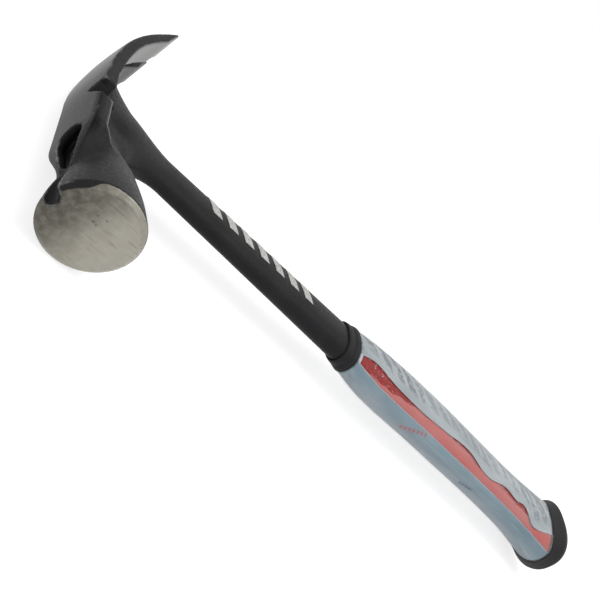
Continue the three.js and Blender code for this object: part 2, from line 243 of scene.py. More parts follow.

# Colours of the coat, its painted shade in the hollows, the grey steel (painted sheen on the plate's top,
# worn inside the claw), the worn edges with the ridge's painted highlight, and the paint on the bars
COAT = ((0.012, 0.012, 0.013), (0.028, 0.028, 0.030))
COAT_SCRATCH = (0.075, 0.075, 0.078)
# Painted shade: the coat's colour in the hollows
COAT_PAINTED_SHADE = (0.002, 0.002, 0.0022)
# Grey steel, lighter towards the claw: painted sheen on the plate's top, worn steel inside the claw
STEEL_HEAD_TO_CLAW = ((0.028, 0.028, 0.0275), (0.20, 0.20, 0.196))
STEEL_SCRATCH = (0.26, 0.26, 0.255)
STEEL_STAIN = (0.03, 0.03, 0.03)
STEEL_INSIDE = (0.19, 0.19, 0.187)
# Worn edges, also used for the painted highlight along the ridge
EDGE_WEAR_AND_HIGHLIGHT = (0.26, 0.26, 0.26)
BAR_PAINT = ((0.42, 0.42, 0.40), (0.62, 0.62, 0.60))

# Coat and grey steel: roughness, shares of scratches, worn edges, the ridge's painted highlight and dull
# paint, and the brushed grain
COAT_ROUGH = (0.36, 0.5)
STEEL_ROUGH = 0.42
COAT_SCRATCH_SHARE = 0.25
STEEL_SCRATCH_SHARE = 0.2
STEEL_STAIN_SHARE = 0.4
WORN_EDGE_SHARE = 0.5
RIDGE_SHARE = 0.45
PAINT_DULLNESS = 0.6
BRUSHED_STRETCH = (1, 0.12, 1)
BRUSHED_TURN = (0, 0, 0.25)
GRAIN_HEIGHT, BRUSHED_HEIGHT = 0.6, 0.5

# Striking face: colours, roughness and shares, direction and span of its dark side, its scratches, and
# its small marks, each with a place up and to the side, and a radius
FACE_LIGHT_TO_DARK = ((0.32, 0.305, 0.262), (0.075, 0.071, 0.056))
FACE_GRAIN = (0.44, 0.43, 0.38)
FACE_SCRATCH = (0.14, 0.13, 0.105)
FACE_MARK = (0.09, 0.085, 0.075)
FACE_ROUGH = (0.34, 0.46)
FACE_GRAIN_SHARE = 0.22
FACE_MARK_SHARE = 0.6
FACE_MARK_CORE = 0.4
DARK_UP, DARK_SIDE = 0.93, 0.12
DARK_SPAN = (-8 * MM, 13 * MM)
DARK_WANDER = 14 * MM
SCRATCH_UP, SCRATCH_SIDE = -0.62, 0.79
SCRATCH_SPAN = (-8 * MM, 8 * MM)
SCRATCH_SHARE = (0.15, 0.6)
SCRATCH_STRETCH = (0.06, 1, 1)
SCRATCH_TURN = (0, 0.75, 0)
FACE_MARKS = (
    (2.0 * MM, 3.4 * MM, 0.7 * MM), (2.6 * MM, 6.0 * MM, 0.6 * MM),
    (0.6 * MM, 3.0 * MM, 0.5 * MM), (-0.6 * MM, 6.6 * MM, 0.5 * MM),
)

# Edge of the bare steel behind the face, further forward over part of the round, by angle
BARE_LINE = FACE.y - 1.9 * MM
BARE_LINE_FORWARD = FACE.y - 0.25 * MM
BARE_RAGGED = 0.5 * MM
BARE_SOFT = (-0.15 * MM, 0.15 * MM)
FORWARD_FROM = (0.1, 0.25)
FORWARD_TO = (1.1, 0.75)

# From the head to the claw, where the grey steel turns lighter and shinier; on the plate's top the
# lighter grey is painted sheen
HEAD_TO_CLAW = (AXIS_Y + 8 * MM, AXIS_Y - 34 * MM)
SHINE = (0.25, 1.0)

# Colours and roughness of the rubbers, the core and the magnet
BLACK_RUBBER = ((0.012, 0.012, 0.013), (0.026, 0.026, 0.028))
RED_DRY = ((0.48, 0.032, 0.022), (0.58, 0.042, 0.028))
RED_WET = ((0.22, 0.007, 0.006), (0.34, 0.013, 0.011))
CORE = ((0.012, 0.012, 0.013), (0.02, 0.02, 0.021))
MAGNET = ((0.10, 0.10, 0.11), (0.20, 0.20, 0.21))
BLACK_RUBBER_ROUGH = (0.5, 0.66)
RED_ROUGH = (0.38, 0.52)
CORE_ROUGH = (0.6, 0.75)
MAGNET_ROUGH = (0.35, 0.5)

# Label's colours and roughness, its fibres' stretch along the grip, and the places round it, from the
# window's back edge to its front edge, where the colours change
GIRTH = 84 * MM
LABEL_PALE = ((0.30, 0.35, 0.37), (0.42, 0.47, 0.495))
LABEL_GREY = ((0.28, 0.34, 0.39), (0.35, 0.41, 0.455))
LABEL_BLUE = ((0.17, 0.265, 0.325), (0.235, 0.335, 0.395))
STREAK_LIGHT = (0.50, 0.56, 0.59)
STREAK_DARK = (0.13, 0.19, 0.23)
STREAK_SHARE = 0.3
PAPER_RIM = (0.62, 0.68, 0.72)
PAPER_RIM_SHARE = 0.6
PAPER_ROUGH = (0.4, 0.5)
SOFT_STRETCH = (0.3, 1, 1)
STREAK_STRETCH = (0.06, 1, 1)
PALE_TO_FRONT = (0.5 * GIRTH, 0.78 * GIRTH)
GREY_TO_BLUE = (0.84 * GIRTH, 0.965 * GIRTH)
RIM_AT_FRONT = (0.992 * GIRTH, GIRTH)
RIM_AT_BACK = (0.5 * MM, 0.0)

# Smudged band of print behind the window: its colour, its slant, its beat, its limits and its strength
SMUDGE = (0.07, 0.09, 0.105)
SMUDGE_SLANT = 0.6
SMUDGE_WANDER = 9 * MM
SMUDGE_PITCH = 9 * MM
SMUDGE_START = (0.5 * MM, 1.8 * MM)
SMUDGE_STOP = (7.0 * MM, 5.5 * MM)
BAND_BACK = (3 * MM, 7 * MM)
BAND_FRONT = (24 * MM, 19 * MM)
BAND_TOP_END = (60 * MM, 26 * MM)
BAND_LOW_END = (112 * MM, 135 * MM)
BAND_LOW_SHARE = 0.3
BAND_STRENGTH = 0.45
BAND_END_STRENGTH = 0.4

# Two short rows of plain dashes on the label's front, by places along it and round it
RED_DASHES = {
    "start": (39 * MM, 0.895 * GIRTH), "end": (53 * MM, 0.975 * GIRTH),
    "pitch": 2.3 * MM, "height": 3.2 * MM,
}
RED_DASH, RED_DASH_SHARE = (0.42, 0.07, 0.07), 0.7
DARK_DASHES = {
    "start": (89 * MM, 0.885 * GIRTH), "end": (98 * MM, 0.912 * GIRTH),
    "pitch": 2.1 * MM, "height": 2.4 * MM,
}
DARK_DASH, DARK_DASH_SHARE = (0.05, 0.06, 0.10), 0.8
DASH_START = (0.0, 0.15)
DASH_STOP = (0.85, 0.65)
DASH_SOFT = 0.2 * MM

# Film's tint, and its cover on the label, over the window, at the painted glints in its tight part and at
# a slant
FILM_TINT = (0.80, 0.76, 0.75)
COVER_LABEL = (0.01, 0.06)
COVER_WINDOW = (0.08, 0.13)
# Painted glints in the film's tight part
COVER_GLINTS = 0.4
COVER_SLANTED = 0.05
SLANT_BLEND = 0.25

# Stage: floor, world and the white that camera, glossy and transmission rays see
FLOOR_HALF = 4.0
FLOOR_DROP = 0.2 * MM
FLOOR_PLAIN = (0.8, 0.8, 0.8)
FLOOR_SHADED = (0.5, 0.5, 0.5)
FLOOR_GLOW = 0.76
WORLD_LIGHT = 0.5
WORLD_SEEN = 1.0

# Span that a noise texture mostly fills
NOISE_SPAN = (0.3, 0.7)


# Node graphs

class Graph:
    """Short names for building one material's nodes."""

    def __init__(self, name):
        self.material = bpy.data.materials.new(name)
        self.material.use_nodes = True
        self.tree = self.material.node_tree
        self.tree.nodes.clear()
        self.output = self.tree.nodes.new("ShaderNodeOutputMaterial")

    def put(self, socket, value):
        if isinstance(value, bpy.types.NodeSocket):
            self.tree.links.new(value, socket)
        elif isinstance(value, tuple) and len(value) == 3 and socket.type == "RGBA":
            socket.default_value = (*value, 1)
        else:
            socket.default_value = value

    def node(self, kind, inputs=None, **settings):
        node = self.tree.nodes.new("ShaderNode" + kind)
        for key, value in settings.items():
            setattr(node, key, value)
        for key, value in (inputs or {}).items():
            self.put(node.inputs[key], value)
        return node

    def math(self, operation, a, b=0.0, clamp=False):
        return self.node("Math", {0: a, 1: b}, operation=operation, use_clamp=clamp).outputs[0]

    def plus(self, a, b):
        return self.math("ADD", a, b)

    def minus(self, a, b):
        return self.math("SUBTRACT", a, b)

    def times(self, first, *others):
        for other in others:
            first = self.math("MULTIPLY", first, other)
        return first

    def highest(self, a, b):
        return self.math("MAXIMUM", a, b)

    def absolute(self, value):
        return self.math("ABSOLUTE", value)

    def sway(self, texture, size):
        """Noise about zero, from minus half this size to plus half."""
        return self.times(self.minus(texture, 0.5), size)

    def mix(self, share, a, b):
        node = self.node("Mix", data_type="RGBA")
        self.put(node.inputs[0], share)
        self.put(node.inputs[6], a)
        self.put(node.inputs[7], b)
        return node.outputs[2]

    def blend(self, share, a, b):
        return self.node("Mix", {0: share, 2: a, 3: b}, data_type="FLOAT").outputs[0]

    def step(self, value, low, high, start=0.0, end=1.0):
        inputs = {0: value, 1: low, 2: high, 3: start, 4: end}
        return self.node("MapRange", inputs, interpolation_type="SMOOTHSTEP").outputs[0]

    def vary(self, texture, start, end):
        """Values between these two, following a noise."""
        return self.step(texture, *NOISE_SPAN, start, end)

    def attribute(self, name):
        return self.node("Attribute", attribute_name=name).outputs["Fac"]

    def place(self, stretch=(1, 1, 1), turn=(0, 0, 0)):
        coords = self.node("TexCoord").outputs["Object"]
        return self.node("Mapping", {"Vector": coords, "Scale": stretch, "Rotation": turn}).outputs[0]

    def noise(self, scale, detail, place=None, rough=0.55):
        inputs = {"Vector": place or self.place(), "Scale": scale, "Detail": detail, "Roughness": rough}
        return self.node("TexNoise", inputs).outputs["Fac"]

    def bump(self, height, distance, strength):
        inputs = {"Height": height, "Distance": distance, "Strength": strength}
        return self.node("Bump", inputs).outputs[0]

    def surface(self, **inputs):
        sockets = {key.replace("_", " "): value for key, value in inputs.items()}
        self.tree.links.new(self.node("BsdfPrincipled", sockets).outputs[0], self.output.inputs[0])
        return self.material


# Meshes

def add_object(name, mesh, material, slot, *nodes):
    """New piece on the one body, in place of these CAD nodes."""
    obj = bpy.data.objects.new(name, mesh)
    bpy.context.scene.collection.objects.link(obj)
    mesh.materials.clear()
    mesh.materials.append(material)
    mesh.polygons.foreach_set("use_smooth", np.ones(len(mesh.polygons), dtype=bool))
    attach(obj, "root")
    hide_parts(*nodes)
    return obj


def ramp(value, low, high):
    share = np.clip((value - low) / (high - low), 0, 1)
    return share * share * (3 - 2 * share)


def between(value, rise, fall):
    """1 between two soft limits, 0 outside."""
    return ramp(value, *rise) * (1 - ramp(value, *fall))


def smooth_curve(places, values, wanted):
    """Cubic curve through values at rising places, read at the wanted places."""
    slopes = np.gradient(values, places)
    at = np.clip(np.searchsorted(places, wanted) - 1, 0, len(places) - 2)
    width = places[at + 1] - places[at]
    t = (wanted - places[at]) / width
    low, high = values[at], values[at + 1]
    rise = (2 * t ** 3 - 3 * t ** 2 + 1) * low + (3 * t ** 2 - 2 * t ** 3) * high
    bend = (t ** 3 - 2 * t ** 2 + t) * slopes[at] + (t ** 3 - t ** 2) * slopes[at + 1]
    return rise + width * bend


def vectors(source, name):
    values = np.empty(3 * len(source), dtype=np.float32)
    source.foreach_get(name, values)
    return values.reshape(-1, 3).astype(float)


def stations(node):
    """Sections of a CAD node across the handle: X, middle in Y, half depth and half thickness."""
    points = vectors(frame["nodes"][node].data.vertices, "co")
    found = []
    for x in np.unique(points[:, 0].round(PLACE_DIGITS)):
        ring = points[np.abs(points[:, 0] - x) < PLACE_NEAR]
        low, high = ring[:, 1].min(), ring[:, 1].max()
        thick = np.abs(ring[:, 2] - FACE.z).max()
        found.append((x, (low + high) / 2, (high - low) / 2, thick))
    return np.array(found)


def rounded(value):
    return np.sign(value) * np.abs(value) ** (2 / SQUARENESS)


def section(station, angles, grow=0.0):
    """Points round the handle at these angles, measured from the face's side to the upper cheek's."""
    x, middle, depth, thick = station
    y = middle + (depth + grow) * rounded(np.cos(angles))
    z = FACE.z + (thick + grow) * rounded(np.sin(angles))
    return np.stack([np.full_like(y, x), y, z], axis=1)


def skin(name, rows, keep=None, caps=False, ring=False):
    """Tube through rows of points, without the faces that keep turns down.

    Caps close both ends, and a ring joins the last row to the first.
    """
    rows = np.asarray(rows)
    count, columns = rows.shape[:2]
    faces = []
    for r in range(count if ring else count - 1):
        for c in range(columns):
            if keep is None or keep(r, c):
                d = (c + 1) % columns
                low, high = r * columns, (r + 1) % count * columns
                faces.append((low + c, low + d, high + d, high + c))
    if caps:
        faces.append(tuple(range(columns - 1, -1, -1)))
        faces.append(tuple(range((count - 1) * columns, count * columns)))
    mesh = bpy.data.meshes.new(name)
    mesh.from_pydata(rows.reshape(-1, 3).tolist(), [], faces)
    mesh.validate()
    return mesh


def add_value(mesh, name, values):
    attribute = mesh.attributes.new(name, "FLOAT", "POINT")
    attribute.data.foreach_set("value", np.asarray(values, dtype=np.float32))


# Forging

def remeshed(node):
    """Even mesh of a CAD node's shape."""
    obj = bpy.data.objects.new("even_copy", frame["nodes"][node].data.copy())
    bpy.context.scene.collection.objects.link(obj)
    weld = obj.modifiers.new("weld", "WELD")
    weld.merge_threshold = WELD
    even = obj.modifiers.new("even", "REMESH")
    even.mode = "VOXEL"
    even.voxel_size = VOXEL
    graph = bpy.context.evaluated_depsgraph_get()
    mesh = bpy.data.meshes.new_from_object(obj.evaluated_get(graph))
    bpy.data.objects.remove(obj)
    return mesh


def vertex_pairs(mesh):
    pairs = np.empty(2 * len(mesh.edges), dtype=np.int32)
    mesh.edges.foreach_get("vertices", pairs)
    return pairs.reshape(-1, 2)


def averaged(values, pairs):
    """Mean of each vertex's neighbours."""
    count = len(values)
    a, b = pairs.T
    near = np.bincount(a, minlength=count) + np.bincount(b, minlength=count)
    total = [
        np.bincount(a, column[b], count) + np.bincount(b, column[a], count)
        for column in values.reshape(count, -1).T
    ]
    return (np.stack(total, axis=1) / np.maximum(near, 1)[:, None]).reshape(values.shape)


def relaxed(points, pairs, weight, rounds):
    """Smoothing that keeps the volume: a step in and a slightly longer step out."""
    for _ in range(rounds):
        for step in STEPS_IN_AND_OUT:
            points = points + step * weight[:, None] * (averaged(points, pairs) - points)
    return points


def moved(mesh, points):
    """Puts the mesh's vertices at these points and gives their normals."""
    mesh.vertices.foreach_set("co", points.ravel())
    mesh.update()
    return vectors(mesh.vertex_normals, "vector")


def hollowness(points, smooth, normals):
    """How far a smoothed shape lies outside these points."""
    return ((smooth - points) * normals).sum(axis=1)


def filled(mesh, points, pairs, weight, rounds):
    """Rounds hollow creases by moving points outward only."""
    for turn in range(rounds):
        if turn % NORMAL_ROUNDS == 0:
            normals = moved(mesh, points)
        rise = hollowness(points, averaged(points, pairs), normals)
        points = points + (FILL_STEP * weight * np.maximum(rise - FILL_LEAST, 0))[:, None] * normals
    return points


def head_frame(points):
    """Distances out to the face, to the upper cheek's side and up the handle."""
    return points[:, 1] - AXIS_Y, points[:, 2] - FACE.z, points[:, 0] - FACE.x


def plate_depth(out, up):
    """Depth below the head plate's top, along its arc over the claw."""
    arc = CLAW_RADIUS - np.hypot(out - CLAW_START, up - TOP_HEIGHT + CLAW_RADIUS)
    return np.where(out < CLAW_START, arc, TOP_HEIGHT - up)


def plate_half(out):
    """Half width of the head plate, which narrows along the nose."""
    return np.interp(out, [NOSE_START, NOSE_END], [PLATE_WIDTH / 2, NOSE_WIDTH / 2])


def neck_share(out, side, up):
    """1 where the nose flows into the neck, clear of the pocket and the groove."""
    half = np.interp(out, CLEAR_OUT, CLEAR_HALF)
    open_top = (1 - ramp(np.abs(side), half, half + CLEAR_SOFT)) * ramp(up, *CLEAR_UP)
    neck = between(out, NECK_REAR, NECK_FRONT) * ramp(plate_depth(out, up), *NECK_DEPTH)
    return neck * (1 - open_top)


def web_share(out, up):
    """1 on the web under the plate."""
    return ramp(plate_depth(out, up), *UNDER_PLATE) * between(out, WEB_REAR, WEB_FRONT)


def dimple_share(out, up):
    """1 in the middle of the web's dimple, 0 far from it."""
    far = (out - DIMPLE_OUT) ** 2 + (up - DIMPLE_UP) ** 2
    return np.exp(-far / DIMPLE_RADIUS ** 2) * ramp(plate_depth(out, up), *UNDER_PLATE)


def bar_share(out, side, up):
    """1 on the raised bars of the shank, 0 elsewhere."""
    along = -up - BAR_START - BAR_SLANT * (out - BAR_MIDDLE)
    turn = np.mod(along, BAR_PITCH)
    lengthwise = (turn < BAR_LENGTH) & (along > 0) & (along < BAR_COUNT * BAR_PITCH)
    across = np.abs(out - BAR_MIDDLE) < BAR_HEIGHT / 2
    return (lengthwise & across & (side > 0)).astype(float)


def top_sheen(out, side, depth, facing):
    """Painted grey sheen on the plate's top, which stops short of its upper edge and of the nose."""
    inset = ramp(plate_half(out) - side, *TOP_INSET)
    end = TOP_END - TOP_END_SHORTER * ramp(side, *TOP_END_SIDE)
    top = ramp(facing, *TOP_FACING) * (1 - ramp(depth, *TOP_DEPTH))
    top *= 1 - ramp(out, end - TOP_END_FADE, end)
    return top * np.where(out > TOP_INSET_START, inset, 1)


def worn_inside(out, side, depth, facing):
    """Bare grey inside the claw, fainter on the lower tine."""
    inside = ramp(-facing, *INSIDE_FACING) * (1 - ramp(depth, *INSIDE_DEPTH))
    inside *= 1 - ramp(out, *INSIDE_OUT)
    return inside * (LOWER_TINE + (1 - LOWER_TINE) * ramp(side, *TINE_SIDE))


def ridge_highlight(out, side, up, depth, edge):
    """Painted highlight along the edge between the plate and the neck."""
    along = between(out, RIDGE_REAR, RIDGE_FRONT) * ramp(up, *RIDGE_UP)
    return ramp(edge, *RIDGE_EDGE) * ramp(depth, *RIDGE_DEPTH) * ramp(side, *RIDGE_SIDE) * along


def coated_groove(out, side, up, normals):
    """1 in the nail's groove, short of the face."""
    across = 1 - ramp(np.abs(side), *GROOVE_SIDE)
    along = ramp(out, *GROOVE_REAR) * (1 - ramp(normals[:, 1], *GROOVE_FACING))
    return across * along * ramp(up - GROOVE_FLOOR, *GROOVE_RISE)


def dark_edge_reflection(out, side, depth):
    """Painted dark reflection along the plate's upper edge."""
    across = (1 - ramp(plate_half(out) - side, *REFLECTION_INSET)) * (1 - ramp(depth, *REFLECTION_DEPTH))
    return across * between(out, REFLECTION_REAR, REFLECTION_FRONT)


def forging_mesh():
    mesh = remeshed("forged_body")
    pairs = vertex_pairs(mesh)
    points = vectors(mesh.vertices, "co")
    points = relaxed(points, pairs, np.ones(len(points)), EVEN_ROUNDS)
    # Rounded neck and web
    out, side, up = head_frame(points)
    neck, web = neck_share(out, side, up), web_share(out, up)
    points = filled(mesh, points, pairs, neck, FILL_ROUNDS)
    points = relaxed(points, pairs, web, WEB_ROUNDS)
    # Raised bars, and a dimple in each side of the web
    normals = moved(mesh, points)
    out, side, up = head_frame(points)
    dimple = dimple_share(out, up)
    rise = averaged(bar_share(out, side, up), pairs) * BAR_RAISE - dimple * DIMPLE_DEPTH
    points = np.clip(points + normals * rise[:, None], *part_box("forged_body"))
    normals = moved(mesh, points)
    # Places of the finishes
    depth = plate_depth(out, up)
    lean = np.where(out < CLAW_START, np.arcsin(np.clip((CLAW_START - out) / CLAW_RADIUS, 0, 1)), 0)
    facing = normals[:, 0] * np.cos(lean) - normals[:, 1] * np.sin(lean)
    bulge = -hollowness(points, averaged(points, pairs), normals)
    edge = averaged(np.clip(bulge / EDGE_BULGE, -1, 1), pairs)
    groove = coated_groove(out, side, up, normals)
    spread = points
    for _ in range(HOLLOW_ROUNDS):
        spread = averaged(spread, pairs)
    hollow = ramp(hollowness(points, spread, normals), *HOLLOW_DEPTH)
    # Painted grey sheen on the plate's top
    add_value(mesh, "top", top_sheen(out, side, depth, facing))
    add_value(mesh, "inside", worn_inside(out, side, depth, facing))
    add_value(mesh, "edge", edge)
    # Painted highlight along the ridge
    add_value(mesh, "ridge", ridge_highlight(out, side, up, depth, edge))
    add_value(mesh, "groove", groove)
    # Painted shade in the hollows, the nail's groove and the web's dimple, and a painted dark reflection
    # along the plate's upper edge
    add_value(mesh, "hollow", np.maximum.reduce([hollow, groove, dark_edge_reflection(out, side, depth), dimple]))
    return mesh


def face_steel(g, x, z, cloud):
    """Cloudy bare steel of the striking face, darker to one side, with scratches and small marks."""
    up = g.minus(x, FACE.x)
    side = g.minus(z, FACE.z)
    shade = g.plus(g.times(up, DARK_UP), g.times(side, DARK_SIDE))
    dark = g.step(g.plus(shade, g.sway(cloud, DARK_WANDER)), *DARK_SPAN)
    colour = g.mix(dark, *FACE_LIGHT_TO_DARK)
    fine = g.noise(scale=420, detail=4)
    colour = g.mix(g.step(fine, low=0.3, high=0.8, end=FACE_GRAIN_SHARE), colour, FACE_GRAIN)
    lines = g.noise(scale=1500, detail=2, place=g.place(SCRATCH_STRETCH, SCRATCH_TURN))
    across = g.plus(g.times(up, SCRATCH_UP), g.times(side, SCRATCH_SIDE))
    cut = g.times(g.step(lines, low=0.56, high=0.74), g.step(across, *SCRATCH_SPAN, *SCRATCH_SHARE))
    colour = g.mix(cut, colour, FACE_SCRATCH)
    for mark_up, mark_side, radius in FACE_MARKS:
        far_up = g.math("POWER", g.minus(up, mark_up), 2.0)
        far_side = g.math("POWER", g.minus(side, mark_side), 2.0)
        core = (FACE_MARK_CORE * radius) ** 2
        near = g.step(g.plus(far_up, far_side), radius ** 2, core, end=FACE_MARK_SHARE)
        colour = g.mix(near, colour, FACE_MARK)
    return colour, g.vary(lines, *FACE_ROUGH)


def bare_share(g, x, y, z):
    """1 on the bare striking face and part of its chamfer."""
    level = g.plus(y, g.sway(g.noise(scale=260, detail=3), BARE_RAGGED))
    turn = g.math("ARCTAN2", g.minus(z, FACE.z), g.minus(x, FACE.x))
    forward = g.times(g.step(turn, *FORWARD_FROM), g.step(turn, *FORWARD_TO))
    line = g.blend(forward, BARE_LINE, BARE_LINE_FORWARD)
    bare = g.step(g.minus(level, line), *BARE_SOFT)
    return g.times(bare, g.minus(1.0, g.attribute("groove")))


def paint_share(g, x, y, z, grain):
    """1 on the painted tops of the raised bars."""
    across = g.minus(y, AXIS_Y + BAR_MIDDLE)
    along = g.minus(g.minus(FACE.x - BAR_START, x), g.times(across, BAR_SLANT))
    phase = g.plus(g.math("FLOORED_MODULO", along, BAR_PITCH), g.sway(grain, BAR_RAGGED))
    half_length, half_height = BAR_LENGTH / 2, BAR_HEIGHT / 2
    return g.times(
        g.step(g.absolute(g.minus(phase, half_length)), half_length, half_length - BAR_SOFT_END),
        g.step(g.absolute(across), half_height, half_height - BAR_SOFT_SIDE),
        g.math("GREATER_THAN", along, 0.0),
        g.math("LESS_THAN", along, BAR_COUNT * BAR_PITCH),
        g.math("GREATER_THAN", z, FACE.z),
    )


def coated_steel():
    g = Graph("coated_steel")
    x, y, z = g.node("SeparateXYZ", {0: g.node("TexCoord").outputs["Object"]}).outputs
    grain = g.noise(scale=900, detail=3)
    cloud = g.noise(scale=60, detail=4)
    brushed = g.noise(scale=2600, detail=2, place=g.place(BRUSHED_STRETCH, BRUSHED_TURN))
    scratch = g.step(brushed, low=0.56, high=0.72)
    bare = bare_share(g, x, y, z)
    paint = paint_share(g, x, y, z, grain)
    # Black coat, with painted shade deepening it in the hollows, and fine brushed scratches
    coat = g.mix(cloud, *COAT)
    coat = g.mix(g.times(scratch, COAT_SCRATCH_SHARE), coat, COAT_SCRATCH)
    coat = g.mix(g.attribute("hollow"), coat, COAT_PAINTED_SHADE)
    # Painted grey sheen over the plate's top, worn grey inside the claw, and bright worn edges with a
    # painted highlight along the ridge
    sheen_and_wear = g.highest(g.attribute("top"), g.attribute("inside"))
    steel = g.mix(g.step(y, *HEAD_TO_CLAW), *STEEL_HEAD_TO_CLAW)
    steel = g.mix(g.times(scratch, STEEL_SCRATCH_SHARE), steel, STEEL_SCRATCH)
    steel = g.mix(g.step(cloud, low=0.35, high=0.7, end=STEEL_STAIN_SHARE), steel, STEEL_STAIN)
    steel = g.mix(g.attribute("inside"), steel, STEEL_INSIDE)
    patchy = g.times(g.attribute("edge"), g.step(cloud, low=0.35, high=0.65))
    wear_and_highlight = g.times(g.step(patchy, low=0.15, high=0.45), WORN_EDGE_SHARE)
    # Painted highlight along the ridge, in the worn edges' colour
    wear_and_highlight = g.highest(wear_and_highlight, g.times(g.attribute("ridge"), RIDGE_SHARE))
    # Finishes laid over one another
    bright, bright_rough = face_steel(g, x, z, cloud)
    silver = g.mix(g.step(grain, low=0.35, high=0.65), *BAR_PAINT)
    colour = g.mix(sheen_and_wear, coat, steel)
    colour = g.mix(wear_and_highlight, colour, EDGE_WEAR_AND_HIGHLIGHT)
    colour = g.mix(bare, colour, bright)
    colour = g.mix(paint, colour, silver)
    shine = g.times(sheen_and_wear, g.step(y, *HEAD_TO_CLAW, *SHINE))
    metal = g.math("MAXIMUM", g.highest(shine, bare), wear_and_highlight, clamp=True)
    metal = g.times(metal, g.minus(1.0, g.times(paint, PAINT_DULLNESS)))
    rough = g.blend(sheen_and_wear, g.vary(grain, *COAT_ROUGH), STEEL_ROUGH)
    rough = g.blend(bare, rough, bright_rough)
    height = g.plus(g.times(grain, GRAIN_HEIGHT), g.times(brushed, BRUSHED_HEIGHT))
    return g.surface(
        Base_Color=colour, Metallic=metal, Roughness=rough, Specular_IOR_Level=0.07,
        Normal=g.bump(height, distance=0.06 * MM, strength=0.35),
    )


# Other materials

def black_rubber():
    g = Graph("black_rubber")
    grain = g.noise(scale=1400, detail=3)
    cloud = g.noise(scale=90, detail=4)
    return g.surface(
        Base_Color=g.mix(cloud, *BLACK_RUBBER), Roughness=g.vary(grain, *BLACK_RUBBER_ROUGH),
        Specular_IOR_Level=0.14, Normal=g.bump(grain, distance=0.05 * MM, strength=0.5),
    )


def clinging(g):
    """Share of the film drawn tight, with a ragged edge."""
    ragged = g.noise(scale=430, detail=3, place=g.place(CLING_STRETCH), rough=0.65)
    return g.step(g.plus(g.attribute("cling"), g.sway(ragged, CLING_RAGGED)), *CLING_SOFT)


def red_rubber():
    g = Graph("red_rubber")
    grain = g.noise(scale=700, detail=3)
    cloud = g.noise(scale=70, detail=4)
    colour = g.mix(clinging(g), g.mix(cloud, *RED_DRY), g.mix(cloud, *RED_WET))
    return g.surface(
        Base_Color=colour, Roughness=g.vary(grain, *RED_ROUGH), Specular_IOR_Level=0.25,
        Normal=g.bump(grain, distance=0.06 * MM, strength=0.4),
    )


def magnet_steel():
    g = Graph("magnet_steel")
    grain = g.noise(scale=1600, detail=3)
    colour, rough = g.mix(grain, *MAGNET), g.vary(grain, *MAGNET_ROUGH)
    return g.surface(Base_Color=colour, Metallic=1.0, Roughness=rough)


def core_plastic():
    g = Graph("core_plastic")
    grain = g.noise(scale=1200, detail=3)
    colour, rough = g.mix(grain, *CORE), g.vary(grain, *CORE_ROUGH)
    return g.surface(Base_Color=colour, Roughness=rough)


def dash_row(g, along, around, start, end, pitch, height):
    """Soft row of short dashes between two places on the label, in metres along it and round it."""
    length = math.dist(start, end)
    run, rise = (end[0] - start[0]) / length, (end[1] - start[1]) / length
    a = g.minus(along, start[0])
    b = g.minus(around, start[1])
    place = g.plus(g.times(a, run), g.times(b, rise))
    off = g.absolute(g.minus(g.times(b, run), g.times(a, rise)))
    beat = g.math("FLOORED_MODULO", place, pitch)
    return g.times(
        g.step(off, height / 2, height / 4),
        g.step(beat, *(share * pitch for share in DASH_START)),
        g.step(beat, *(share * pitch for share in DASH_STOP)),
        g.step(place, 0.0, DASH_SOFT),
        g.step(place, length, length - DASH_SOFT),
    )


def smudged_print(g, along, around):
    """Share of the smudged band of print, strongest at both ends."""
    slant = g.plus(along, g.times(around, SMUDGE_SLANT))
    wander = g.sway(g.noise(scale=130, detail=2), SMUDGE_WANDER)
    beat = g.math("FLOORED_MODULO", g.plus(slant, wander), SMUDGE_PITCH)
    patchy = g.step(g.noise(scale=420, detail=3), low=0.34, high=0.54)
    blot = g.times(g.step(beat, *SMUDGE_START), g.step(beat, *SMUDGE_STOP), patchy)
    band = g.times(g.step(around, *BAND_BACK), g.step(around, *BAND_FRONT))
    ends = g.highest(g.step(along, *BAND_TOP_END), g.step(along, *BAND_LOW_END, end=BAND_LOW_SHARE))
    return g.times(blot, band, g.plus(g.times(ends, BAND_END_STRENGTH), BAND_STRENGTH))


def label_paper():
    g = Graph("label_paper")
    along = g.times(g.attribute("along"), GRIP_HIGH - GRIP_LOW)
    around = g.times(g.attribute("around"), GIRTH)
    fibre = g.noise(scale=800, detail=3)
    soft = g.vary(g.noise(scale=110, detail=4, place=g.place(SOFT_STRETCH)), 0.0, 1.0)
    streak = g.noise(scale=420, detail=3, place=g.place(STREAK_STRETCH))
    front = g.mix(g.step(around, *GREY_TO_BLUE), g.mix(soft, *LABEL_GREY), g.mix(soft, *LABEL_BLUE))
    colour = g.mix(g.step(around, *PALE_TO_FRONT), g.mix(soft, *LABEL_PALE), front)
    colour = g.mix(g.step(streak, low=0.52, high=0.75, end=STREAK_SHARE), colour, STREAK_LIGHT)
    colour = g.mix(g.step(streak, low=0.48, high=0.28, end=STREAK_SHARE), colour, STREAK_DARK)
    # Cut edge of the paper beside the window
    rim = g.highest(g.step(around, *RIM_AT_FRONT), g.step(around, *RIM_AT_BACK))
    colour = g.mix(g.times(rim, PAPER_RIM_SHARE), colour, PAPER_RIM)
    # Print
    colour = g.mix(smudged_print(g, along, around), colour, SMUDGE)
    colour = g.mix(g.times(dash_row(g, along, around, **RED_DASHES), RED_DASH_SHARE), colour, RED_DASH)
    colour = g.mix(g.times(dash_row(g, along, around, **DARK_DASHES), DARK_DASH_SHARE), colour, DARK_DASH)
    return g.surface(
        Base_Color=colour, Roughness=g.vary(fibre, *PAPER_ROUGH),
        Normal=g.bump(fibre, distance=0.02 * MM, strength=0.4),
    )


